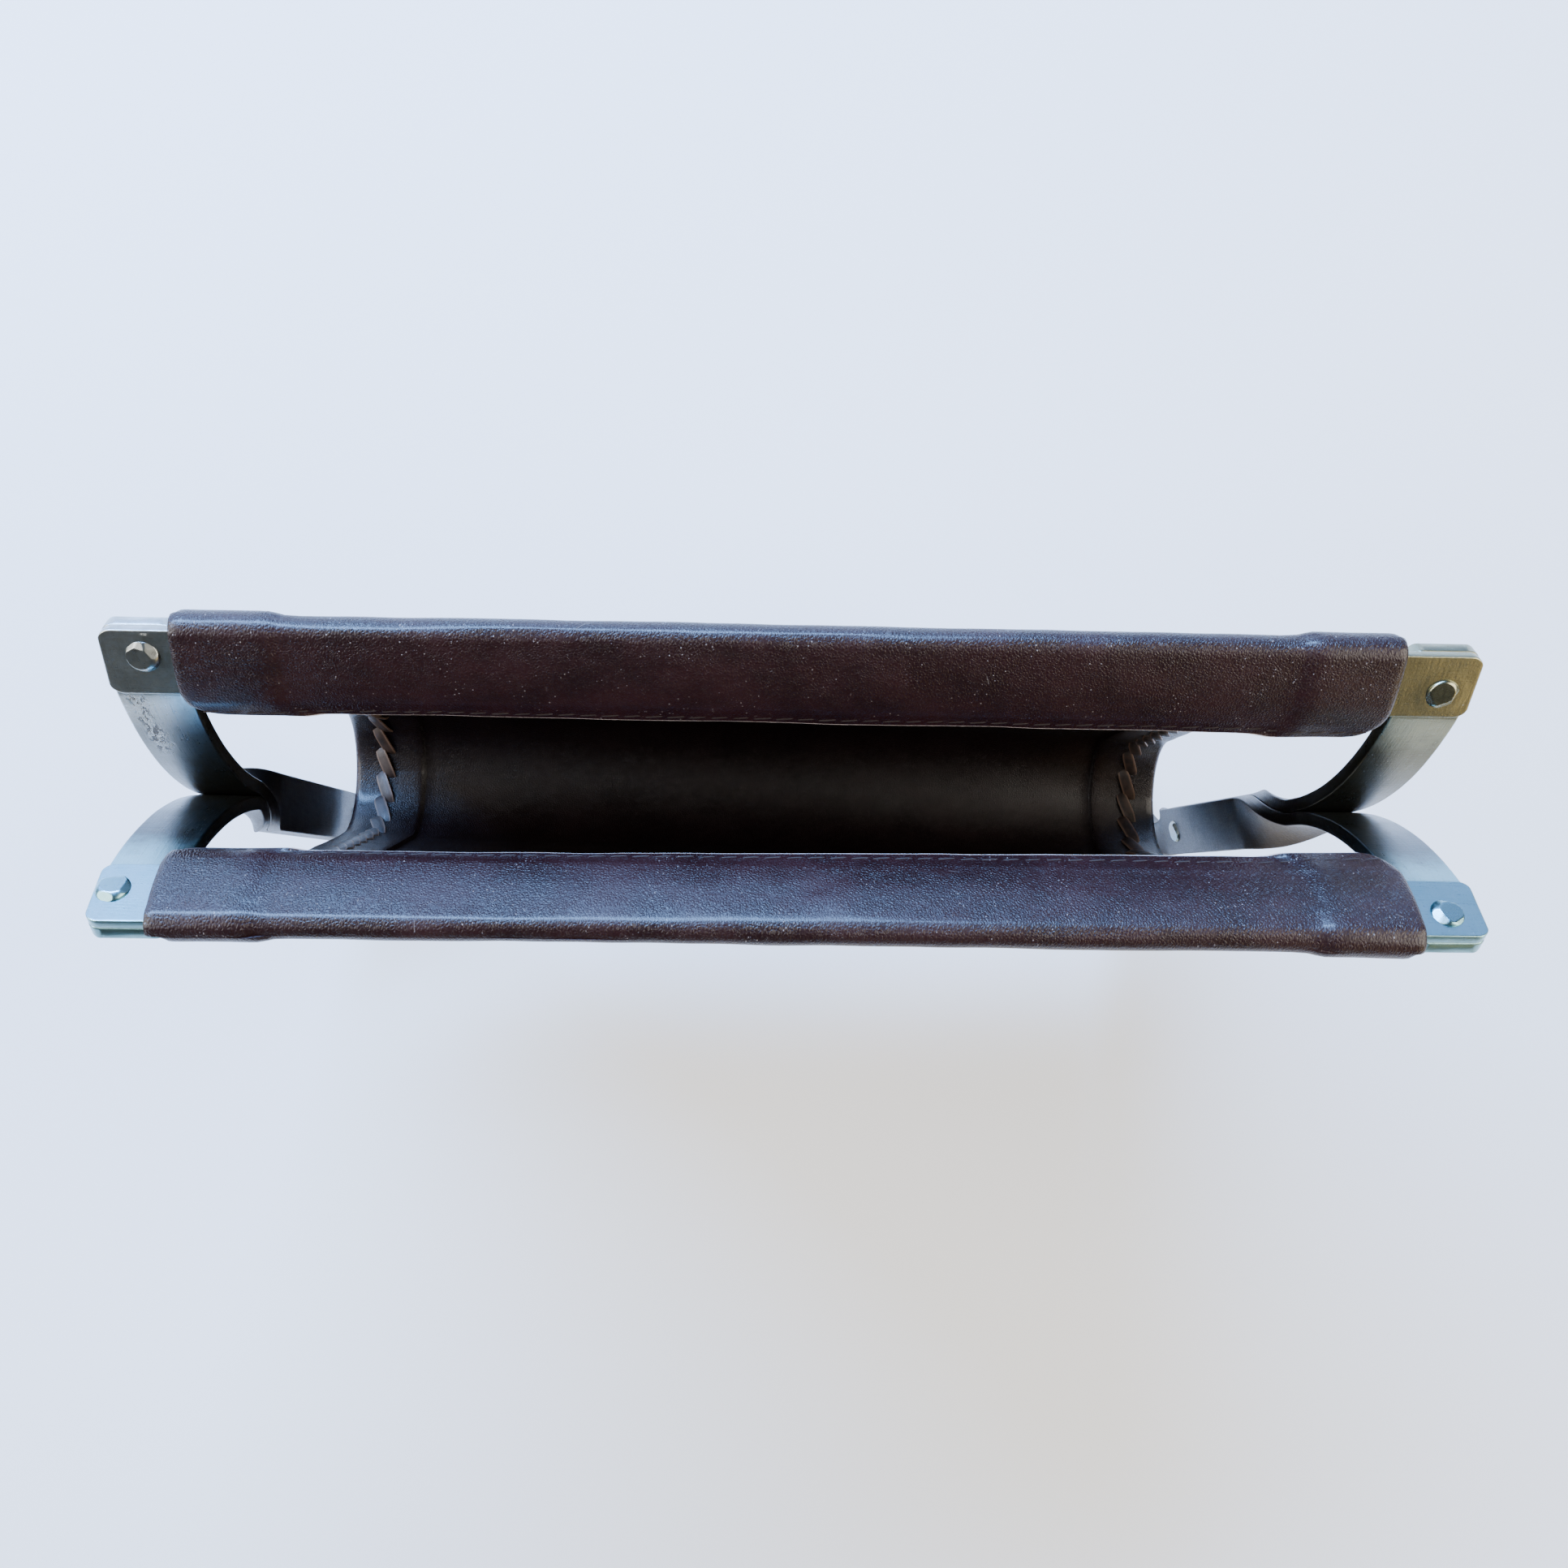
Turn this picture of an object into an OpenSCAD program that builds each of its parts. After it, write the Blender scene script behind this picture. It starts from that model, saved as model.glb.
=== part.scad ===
// Magazine rack: a leather sling on two flat rails, carried by four twisted iron straps.
// Origin on the floor under the middle of the rack, +X along the rails, +Y to the rear.

/* [Rails] */
// Length of each rail
rail_len = 375; // [300:1:450]
// Width of the flat bar that the rails and the straps are cut from
bar_w = 20; // [18:0.5:22]
// Thickness of the rail bar
rail_t = 3; // [2.5:0.1:4]
// Height of the straps' outer top edge above the floor
rail_z = 335; // [325:1:370]
// Distance of that edge from the middle of the rack
rail_y = 43; // [41:0.5:46]
// Slope of the rails' faces from the horizontal
rail_tilt = 40; // [36:1:44]
// Radius of the filed corners at the rail ends
rail_corner = 2; // [1:0.5:4]

/* [Straps] */
// Thickness of the strap bar
strap_t = 4.5; // [3.5:0.1:5]
// Slope of a strap where it leaves the rail plate
arc_slope = 56; // [54:1:60]
// Inner radius of the bend under the rail plate
plate_bend_r = 12; // [6:1:16]
// Slope at the lower end of a foot arc
foot_slope = 44; // [38:1:48]
// Radius of a foot arc
foot_arc_r = 75; // [65:1:80]
// Inner radius of the bend into the toe
toe_bend_r = 10; // [8:1:14]
// Length of the flat toe on the floor
toe_len = 16; // [12:1:20]

/* [Twists] */
// Depth below the top edge where the left and right pairs start to twist
twist_top = [78, 90]; // [60:1:110]
// Length of the upper twist, left and right
twist_len = [42, 60]; // [30:1:70]
// Angle of the stem after the upper twist, left and right
stem_turn = [88, 78]; // [70:1:95]
// Depth below the top edge where the lower twist starts
twist_low = 244; // [240:1:250]

/* [Rivets] */
// Radius of a rivet's shank
rivet_r = 2.5; // [2:0.1:3]
// Radius of a rivet's hammered head
head_r = 4.6; // [4:0.1:5]
// Height of a rivet's head
head_h = 2.2; // [1.5:0.1:3]
// Inset of the corner rivets from the strap's outer edge: rear left, front left, rear right, front right
rivet_in = [11, 5, 9, 10]; // [5:0.5:14]
// Shift of the corner rivets up the plate, in the same order
rivet_up = [2, -1, -2, 2]; // [-4:0.5:4]
// Depth of the stem rivets below the top edge
stem_rivet_drop = 228; // [215:1:236]

/* [Sling] */
// Width of the hanging sheet, along the rails
sling_len = 334; // [300:1:338]
// How far the sheet's middle lies to the right of the rack's
sling_shift = -3.3; // [-4:0.1:2]
// Length of the rear and front sleeves
sleeve_len = [332, 338]; // [300:1:340]
// How far each sleeve's middle lies to the right of the rack's
sleeve_shift = [-1.9, -2.2]; // [-6:0.1:6]
// Thickness of the leather
hide_t = 2; // [1.6:0.1:3]
// Radius of the fold at the bottom of the sling
fold_r = 26.5; // [22:0.5:28]
// Depth of the fold's centre below the top edge, left and right
fold_drop = [191, 203]; // [170:1:220]
// Distance of the fold's centre behind the middle, left and right
fold_back = [16, 11]; // [5:1:17]
// Width of the folded side hems
hem_w = 28; // [20:1:34]
// Thickness of the skived hem leather
hem_t = 1.8; // [1:0.1:2.5]
// Distance of the lacing from the sling's side edge
lace_in = 12.5; // [10:0.5:16]
// Width of the lacing thong
lace_w = 4.5; // [3:0.5:6]
// Distance between the seam stitches
stitch_pitch = 6; // [5:0.5:8]
// Length of one seam stitch
stitch_len = 4.2; // [3:0.1:4.8]

/* [Hidden] */

iron = [0.42, 0.44, 0.43];
steel = [0.55, 0.57, 0.55];
hide = [0.16, 0.09, 0.08];
hem_hide = [0.20, 0.12, 0.10];
thong = [0.35, 0.22, 0.16];
thread = [0.45, 0.38, 0.34];

LEFT = 0;
RIGHT = 1;
stem_x = rail_len / 2 - bar_w / 2;
gap = 0.3;             // leather to metal, and between leather layers
hole_slack = 0.05;     // rivet shank to hole
edge = 0.5;            // broken edges of the straps

// Rail plate: the strap's inner face starts at plate_top and runs down at rail_tilt.
down = [-cos(rail_tilt), -sin(rail_tilt)];
out = [sin(rail_tilt), -cos(rail_tilt)];
plate_top = [rail_y, rail_z] - strap_t * out;
plate_end = plate_top + bar_w * down;

// Side profile of a strap's inner face as [y, z], with the slope of the bar at each point.
bend_end = plate_end - plate_bend_r * [sin(arc_slope) - sin(rail_tilt), cos(rail_tilt) - cos(arc_slope)];
arc_r = bend_end[0] / (1 - sin(arc_slope));
cross_z = bend_end[1] - arc_r * cos(arc_slope);
low_z = foot_arc_r * cos(foot_slope) + toe_bend_r * (1 - cos(foot_slope));
toe_y = foot_arc_r * (1 - sin(foot_slope)) + toe_bend_r * sin(foot_slope);

function plate_bend(a) = plate_end - plate_bend_r * [sin(a) - sin(rail_tilt), cos(rail_tilt) - cos(a)];
function top_arc(a) = [arc_r * (1 - sin(a)), cross_z + arc_r * cos(a)];
function foot_arc(a) = [foot_arc_r * (1 - sin(a)), low_z - foot_arc_r * cos(a)];
function toe_bend(a) = [toe_y - toe_bend_r * sin(a), toe_bend_r * (1 - cos(a))];

// Twist of the stem at a height, clockwise from above: up to stem_turn, then on to half a turn.
function ease(u) = let (c = min(max(u, 0), 1)) (c + c * c * (3 - 2 * c)) / 2;
function turn(z, side) =
    let (upper = ease((rail_z - twist_top[side] - z) / twist_len[side]))
    let (lower = ease((rail_z - twist_low - z) / (rail_z - twist_low - low_z)))
    stem_turn[side] * upper + (180 - stem_turn[side]) * lower;

// Stations down a strap as [y, z, slope]; the stem's are evenly spaced.
bend_step = 4;
arc_step = 3.4;
stem_rings = 44;
stations = concat(
    [[plate_top[0], plate_top[1], rail_tilt]],
    [for (a = [rail_tilt : bend_step : arc_slope - 1]) concat(plate_bend(a), a)],
    [for (a = [arc_slope : arc_step : 89]) concat(top_arc(a), a)],
    [for (i = [0 : stem_rings]) [0, cross_z + (low_z - cross_z) * i / stem_rings, 90]],
    [for (a = [90 - arc_step : -arc_step : foot_slope]) concat(foot_arc(a), a)],
    [for (a = [foot_slope - 2 : -7 : 1]) concat(toe_bend(a), a)],
    [[toe_y, 0, 0], [toe_y + toe_len, 0, 0]]);

// Bar section with broken edges: [across the bar, away from the inner face].
bar_section = [[-bar_w / 2 + edge, 0], [bar_w / 2 - edge, 0], [bar_w / 2, edge], [bar_w / 2, strap_t - edge],
    [bar_w / 2 - edge, strap_t], [-bar_w / 2 + edge, strap_t], [-bar_w / 2, strap_t - edge], [-bar_w / 2, edge]];

function strap_point(s, p, side) =
    let (below = s[1] < (cross_z + low_z) / 2 ? -1 : 1)
    let (x = p[0])
    let (y = s[0] + p[1] * sin(s[2]))
    let (a = turn(s[1], side))
    [x * cos(a) + y * sin(a), y * cos(a) - x * sin(a), s[1] - below * p[1] * cos(s[2])];

// Skin of a swept section: n points in each ring, closed at both ends.
module skin(points, n) {
    rings = len(points) / n;
    polyhedron(points = points, convexity = 6, faces = concat(
        [[for (k = [0 : n - 1]) k]],
        [for (i = [0 : rings - 2]) for (k = [0 : n - 1]) [i * n + k, (i + 1) * n + k, (i + 1) * n + (k + 1) % n]],
        [for (i = [0 : rings - 2]) for (k = [0 : n - 1]) [i * n + k, (i + 1) * n + (k + 1) % n, i * n + (k + 1) % n]],
        [[for (k = [n - 1 : -1 : 0]) (rings - 1) * n + k]]));
}

// A rear strap that stands on the axis of its stem; a front strap is the same one, half a turn round.
module strap(side, rivet_x, rivet_shift) {
    difference() {
        skin([for (s = stations) for (p = bar_section) strap_point(s, p, side)], len(bar_section));
        plate_place(rivet_x, rivet_shift) cylinder(r = rivet_r + hole_slack, h = 30, center = true, $fn = 48);
        stem_place(side) cylinder(r = rivet_r + hole_slack, h = 30, center = true, $fn = 48);
    }
}

// Axis of a corner rivet on a rear plate: +Z out of the plate's inner face.
module plate_place(x, shift) {
    p = plate_top + (bar_w / 2 - shift) * down;
    translate([x, p[0], p[1]]) rotate([rail_tilt, 0, 0]) children();
}

// Axis of a stem rivet, square to the twisted stem's faces.
module stem_place(side) {
    translate([0, 0, rail_z - stem_rivet_drop]) rotate([0, 0, -stem_turn[side]]) rotate([-90, 0, 0]) children();
}

// Rivet whose hammered heads sit on two faces a grip apart, with the shank between them.
module rivet(grip) {
    ball_r = (head_r * head_r + head_h * head_h) / (2 * head_h);
    cylinder(r = rivet_r, h = grip, $fn = 48);
    for (end = [0, 1]) translate([0, 0, end * grip]) mirror([0, 0, 1 - end]) intersection() {
        translate([0, 0, head_h - ball_r]) sphere(r = ball_r, $fn = 64);
        translate([0, 0, head_h * 0.42]) cube([4 * head_r, 4 * head_r, head_h * 0.84], center = true);
    }
}

function side_x(side) = side == LEFT ? -stem_x : stem_x;
function rivet_x(i) = i < 2 ? rivet_in[i] - bar_w / 2 : bar_w / 2 - rivet_in[i];

// Corner i counts as in rivet_in; odd corners are at the front.
module strap_at(i) {
    side = floor(i / 2);
    front = i % 2;
    color(iron) translate([side_x(side), 0, 0]) rotate([0, 0, 180 * front])
        strap(side, rivet_x(i) * (1 - 2 * front), rivet_up[i]);
}

module corner_rivet(i) {
    front = i % 2;
    color(steel) translate([side_x(floor(i / 2)), 0, 0]) rotate([0, 0, 180 * front])
        plate_place(rivet_x(i) * (1 - 2 * front), rivet_up[i])
            translate([0, 0, -strap_t]) rivet(rail_t + strap_t);
}

module stem_rivet(side) {
    color(steel) translate([side_x(side), 0, 0])
        stem_place(side) translate([0, 0, -strap_t]) rivet(2 * strap_t);
}

// Rail: flat bar on the inner faces of the strap plates, with filed corners and two rivet holes.
module rail(first) {
    front = first % 2;
    c = rail_corner;
    color(iron) rotate([0, 0, 180 * front]) difference() {
        translate([0, plate_top[0], plate_top[1]]) rotate([rail_tilt, 0, 0]) rotate([0, 0, 180])
            translate([-rail_len / 2, 0, 0]) linear_extrude(rail_t) union() {
                translate([c, 0]) square([rail_len - 2 * c, bar_w]);
                translate([0, c]) square([rail_len, bar_w - 2 * c]);
                for (x = [c, rail_len - c]) for (y = [c, bar_w - c]) translate([x, y]) circle(r = c, $fn = 32);
            }
        for (i = [first, first + 2]) translate([side_x(floor(i / 2)) * (1 - 2 * front), 0, 0])
            plate_place(rivet_x(i) * (1 - 2 * front), rivet_up[i])
                cylinder(r = rivet_r + hole_slack, h = 30, center = true, $fn = 48);
    }
}

// Sling: a line down from the rear rail, round the fold, and up to the front rail.
hang_y = plate_top[0] + gap + hide_t / 2;
hang_z = plate_top[1] - 1.4;
between_straps = stem_x - bar_w / 2 - gap;
function mix(a, b, u) = a + (b - a) * u;
function fold_centre(x) =
    let (u = (x - sling_shift) / sling_len + 0.5)
    [mix(fold_back[LEFT], fold_back[RIGHT], u), rail_z - mix(fold_drop[LEFT], fold_drop[RIGHT], u)];
// Angle round the fold, from +Y clockwise, where the wall from a rail edge at y touches it.
function touch(c, y) =
    let (away = [y, hang_z] - c)
    let (d = norm(away))
    let (lean = atan2(away[1], away[0]))
    y > 0 ? lean - acos(fold_r / d) : lean + acos(fold_r / d);
wall_rings = 5;
fold_rings = 22;
// Points of the sling's section at x as [y, z, outward angle].
function sling_section(x) =
    let (c = fold_centre(x))
    let (rear = touch(c, hang_y))
    let (front = touch(c, -hang_y) - 360)
    let (rear_foot = c + fold_r * [cos(rear), sin(rear)])
    let (front_foot = c + fold_r * [cos(front), sin(front)])
    concat(
        [for (i = [0 : wall_rings - 1]) concat(mix([hang_y, hang_z], rear_foot, i / wall_rings), rear)],
        [for (i = [0 : fold_rings]) let (a = mix(rear, front, i / fold_rings))
            concat(c + fold_r * [cos(a), sin(a)], a)],
        [for (i = [1 : wall_rings]) concat(mix(front_foot, [-hang_y, hang_z], i / wall_rings), front)]);

sling_x = [sling_shift - sling_len / 2, sling_shift + sling_len / 2];

// Sheet that follows the sling's section from x0 to x1, between two depths inside its middle.
module sling_sheet(x0, x1, inner, outer, spans) {
    half = 2 * wall_rings + fold_rings + 1;
    n = 2 * half;
    points = [for (k = [0 : spans]) let (x = mix(x0, x1, k / spans)) let (sec = sling_section(x))
        for (j = [0 : n - 1])
            let (s = sec[j < half ? j : n - 1 - j])
            let (d = j < half ? outer : inner)
            [x, s[0] - d * cos(s[2]), s[1] - d * sin(s[2])]];
    last = spans * n;
    polyhedron(points = points, convexity = 6, faces = concat(
        [for (j = [0 : half - 2]) for (t = [[j, j + 1, n - 1 - j], [j + 1, n - 2 - j, n - 1 - j]]) t],
        [for (i = [0 : spans - 1]) for (k = [0 : n - 1]) for (t = [[0, n, n + 1], [0, n + 1, 1]])
            [for (c = t) i * n + (c < n ? 0 : n) + (k + c % n) % n]],
        [for (j = [0 : half - 2]) for (t = [[j, n - 1 - j, j + 1], [j + 1, n - 1 - j, n - 2 - j]])
            [for (c = t) last + c]]));
}

// Cuts the upper corners that would run into the straps, and all above a height.
module clear_of_straps(top_z) {
    difference() {
        children();
        translate([-rail_len, -rail_y * 2, rail_z - 4.2]) cube([rail_len - between_straps, rail_y * 4, 40]);
        translate([-rail_len, -rail_y * 2, top_z]) cube([rail_len * 2, rail_y * 4, 40]);
    }
}

module sling_panel() {
    color(hide) clear_of_straps(hang_z - 0.1)
        sling_sheet(sling_x[LEFT], sling_x[RIGHT], hide_t / 2, -hide_t / 2, 4);
}

module hem(side) {
    x0 = side == LEFT ? sling_x[LEFT] : sling_x[RIGHT] - hem_w;
    color(hem_hide) clear_of_straps(hang_z - 0.4)
        sling_sheet(x0, x0 + hem_w, hide_t / 2 + 0.05 + hem_t, hide_t / 2 + 0.05, 1);
}

module lacing(side) {
    x = side == LEFT ? sling_x[LEFT] + lace_in : sling_x[RIGHT] - lace_in;
    start = hide_t / 2 + hem_t + 0.1;
    color(thong) clear_of_straps(rail_z - 3) sling_sheet(x - lace_w / 2, x + lace_w / 2, start + 1.1, start, 1);
}

// Sleeve round the rail, drawn in the plate's own axes: x up the plate, y out of its inner face.
lip = 5;
lip_y = rail_t / 2;
// Point of the leather hanging straight down at a distance from the middle, in the plate's axes.
function hung(y, z) =
    let (p = [y, z] - plate_top)
    [-p * down, -p * out];
module sleeve_profile(x0, x1, backed) {
    face = rail_t + gap;
    low = -bar_w - gap;
    top = gap + hide_t;
    bevel = 1.2;
    wall = [plate_top[0] + gap, plate_top[0] + top];
    hem_face = 0.4 + hem_t;
    tail = backed
        ? [hung(wall[0], plate_top[1] + 0.1), hung(wall[0], hang_z + 0.15), hung(wall[1], hang_z + 0.15),
            hung(wall[1], plate_top[1] + 0.8)]
        : [[gap, 0.1], [top, 0.1]];
    translate([0, plate_top[0], plate_top[1]]) rotate([rail_tilt, 0, 0]) rotate([90, 0, 90])
        translate([0, 0, x0]) linear_extrude(x1 - x0) union() {
            polygon(concat([[low - lip, lip_y - 0.1], [low, face], [gap, face]], tail,
                [[top, face + hide_t - bevel], [top - bevel, face + hide_t], [low, face + hide_t],
                [low - lip, lip_y + hide_t]]));
            if (backed) polygon([[low - lip, lip_y], [low, -gap], [-hem_face - hide_t, -gap],
                [-hem_face - hide_t, -gap - hide_t], [low, -gap - hide_t], [low - lip, lip_y - hide_t]]);
        }
}

module sleeve(front) {
    shift = sleeve_shift[front] * (1 - 2 * front);
    half = sleeve_len[front] / 2;
    color(hide) rotate([0, 0, 180 * front]) {
        sleeve_profile(shift - half, shift + half, false);
        sleeve_profile(-min(between_straps, half - shift), min(between_straps, half + shift), true);
    }
}

// Row of stitches along the sleeve's lip.
module seam_thread(front) {
    count = floor((sleeve_len[front] - 14) / stitch_pitch);
    shift = sleeve_shift[front] * (1 - 2 * front);
    p = plate_top + (bar_w + 2.5) * down - (rail_t + hide_t + 0.2) * out;
    color(thread) rotate([0, 0, 180 * front]) for (i = [0 : count - 1])
        translate([shift + (i - (count - 1) / 2) * stitch_pitch, p[0], p[1]]) rotate([rail_tilt, 0, 0])
            cube([stitch_len, 0.8, 0.6], center = true);
}

rail(0);  // rail_rear
rail(1);  // rail_front
strap_at(0);  // strap_rear_left
strap_at(1);  // strap_front_left
strap_at(2);  // strap_rear_right
strap_at(3);  // strap_front_right
corner_rivet(0);  // rivet_rear_left
corner_rivet(1);  // rivet_front_left
corner_rivet(2);  // rivet_rear_right
corner_rivet(3);  // rivet_front_right
stem_rivet(LEFT);  // stem_rivet_left
stem_rivet(RIGHT);  // stem_rivet_right
sling_panel();
sleeve(0);  // sleeve_rear
sleeve(1);  // sleeve_front
hem(LEFT);  // hem_left
hem(RIGHT);  // hem_right
lacing(LEFT);  // lacing_left
lacing(RIGHT);  // lacing_right
seam_thread(0);  // seam_thread_rear
seam_thread(1);  // seam_thread_front
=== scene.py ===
import math

import bmesh
import bpy
from mathutils import Matrix, Vector, noise


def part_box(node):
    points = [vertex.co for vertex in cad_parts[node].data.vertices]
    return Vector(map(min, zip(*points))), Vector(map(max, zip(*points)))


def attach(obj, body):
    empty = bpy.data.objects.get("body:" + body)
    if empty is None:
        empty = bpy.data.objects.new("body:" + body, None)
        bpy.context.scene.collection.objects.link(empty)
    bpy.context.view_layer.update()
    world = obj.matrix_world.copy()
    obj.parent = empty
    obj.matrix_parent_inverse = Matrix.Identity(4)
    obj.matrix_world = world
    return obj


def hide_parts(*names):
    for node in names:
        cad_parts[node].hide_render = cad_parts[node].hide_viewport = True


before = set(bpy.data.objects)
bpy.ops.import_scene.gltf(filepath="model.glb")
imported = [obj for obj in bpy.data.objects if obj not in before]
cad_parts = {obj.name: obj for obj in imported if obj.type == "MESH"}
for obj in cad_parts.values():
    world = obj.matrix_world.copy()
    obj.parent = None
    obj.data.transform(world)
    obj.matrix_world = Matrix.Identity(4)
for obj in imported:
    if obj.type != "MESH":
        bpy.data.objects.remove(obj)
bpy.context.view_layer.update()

mm = 0.001


def sinD(angle):
    return math.sin(math.radians(angle))


def cosD(angle):
    return math.cos(math.radians(angle))


def lerp(a, b, t):
    return a + (b - a) * t


def smooth(low, high, value):
    t = min(max((value - low) / (high - low), 0.0), 1.0)
    return t * t * (3 - 2 * t)


# Nodes: a wire is one output socket, in a material or in a geometry tree.

class Wire:
    def __init__(self, tree, socket=None):
        self.tree = tree
        self.socket = socket

    def node(self, kind, settings=(), sockets=(), out=0):
        made = self.tree.nodes.new(kind)
        for name, value in dict(settings).items():
            setattr(made, name, value)
        for name, value in dict(sockets).items():
            if isinstance(value, Wire):
                self.tree.links.new(value.socket, made.inputs[name])
            else:
                made.inputs[name].default_value = value
        return Wire(self.tree, made.outputs[out] if made.outputs else None)

    def maths(self, operation, *values):
        return self.node("ShaderNodeMath", {"operation": operation}, dict(enumerate(values)))

    def vector(self, operation, *values, out=0):
        settings = {"operation": operation}
        return self.node("ShaderNodeVectorMath", settings, dict(enumerate(values)), out)

    def __add__(self, other):
        return self.maths("ADD", self, other)

    def __radd__(self, other):
        return self.maths("ADD", other, self)

    def __sub__(self, other):
        return self.maths("SUBTRACT", self, other)

    def __rsub__(self, other):
        return self.maths("SUBTRACT", other, self)

    def __mul__(self, other):
        return self.maths("MULTIPLY", self, other)

    def __rmul__(self, other):
        return self.maths("MULTIPLY", other, self)

    def __truediv__(self, other):
        return self.maths("DIVIDE", self, other)

    def __rtruediv__(self, other):
        return self.maths("DIVIDE", other, self)

    def __pow__(self, other):
        return self.maths("POWER", self, other)

    def objectPlace(self):
        return self.node("ShaderNodeTexCoord", {}, {}, 3)

    def mark(self, name, out=2):
        return self.node("ShaderNodeAttribute", {"attribute_name": name}, {}, out)

    def axis(self, number):
        return self.node("ShaderNodeSeparateXYZ", {}, {0: self}, number)

    def gather(self, parts):
        return self.node("ShaderNodeCombineXYZ", {}, parts)

    def most(self, other):
        return self.maths("MAXIMUM", self, other)

    # eased change from start to end as the wire goes from low to high
    def step(self, low, high, start=0.0, end=1.0):
        return self.node("ShaderNodeMapRange", {"interpolation_type": "SMOOTHSTEP"},
                         {0: self, 1: low, 2: high, 3: start, 4: end})

    def moved(self, offset):
        return self.vector("ADD", self, offset)

    def sized(self, factor):
        return self.node("ShaderNodeVectorMath", {"operation": "SCALE"}, {0: self, "Scale": factor})

    # colour that goes from first to second with the wire
    def tint(self, first, second):
        return self.node("ShaderNodeMix", {"data_type": "RGBA"}, {0: self, 6: first, 7: second}, 2)

    def cloud(self, size, detail=3.0, rough=0.55, stretch=(1, 1, 1)):
        place = self.vector("MULTIPLY", self, stretch)
        return self.node("ShaderNodeTexNoise", {},
                         {"Vector": place, "Scale": 1 / size, "Detail": detail, "Roughness": rough})

    def cells(self, size, feature="F1", spread=1.0, out=0, stretch=(1, 1, 1)):
        place = self.vector("MULTIPLY", self, stretch)
        return self.node("ShaderNodeTexVoronoi", {"feature": feature},
                         {"Vector": place, "Scale": 1 / size, "Randomness": spread}, out)


def colour(r, g, b):
    return (r, g, b, 1.0)


def newMaterial(name):
    material = bpy.data.materials.new(name)
    material.use_nodes = True
    material.node_tree.nodes.clear()
    return material, Wire(material.node_tree)


def surface(start, sockets, height=None, depth=0.0):
    if height is not None:
        bump = {"Strength": 1.0, "Distance": depth, "Height": height}
        sockets["Normal"] = start.node("ShaderNodeBump", {}, bump)
    shader = start.node("ShaderNodeBsdfPrincipled", {}, sockets)
    start.node("ShaderNodeOutputMaterial", {}, {"Surface": shader})


# Materials

ironLook = {
    "clean": colour(0.48, 0.51, 0.495),
    "aged": colour(0.33, 0.345, 0.32),
    "stain": 0.45,    # how dark the fine stains are
    "darkArcs": colour(0.165, 0.180, 0.178),    # arcs, below the filed plates
    "dark": colour(0.046, 0.038, 0.033),    # painted shade on the stems, for the shaded floor they reflect; also the colour of the stains and nicks
    "rubbed": colour(0.50, 0.51, 0.48),
    "roughness": (0.27, 0.34),
    "grain": 0.5 * mm,
    "markDepth": 0.075 * mm,
    "pitSize": 1.7 * mm,
    "filedDown": (323 * mm, 307 * mm),    # heights between which the filing fades
    "stemShadeDown": (276 * mm, 250 * mm),    # heights between which the painted shade on the stems starts
    "gouges": None,    # across the bar, half width, from and to along it
    "paintedSkyReflection": colour(0.17, 0.38, 0.43),    # painted reflection of the blue sky, on the front half
    "paintedShade": (colour(0.013, 0.018, 0.023), colour(0.055, 0.072, 0.086)),    # painted shade on its arcs, left and right
    # painted reflection of the warm light, on the rear right corner
    "paintedWarmReflection": colour(0.265, 0.265, 0.17),
    "paintedWarmReflectionArc": colour(0.135, 0.125, 0.075),    # painted warm reflection on the arc at the rear right corner
    "paintedSkyReflectionTo": (-12 * mm, 2 * mm),    # where the painted sky reflection ends, towards the rear
    "paintedWarmReflectionFrom": ((40 * mm, 140 * mm), (0.0, 14 * mm)),    # where the painted warm reflection begins, rightwards and rearwards
    "blotchSize": 8 * mm,
    "fineSize": 0.6 * mm,
}


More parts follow.
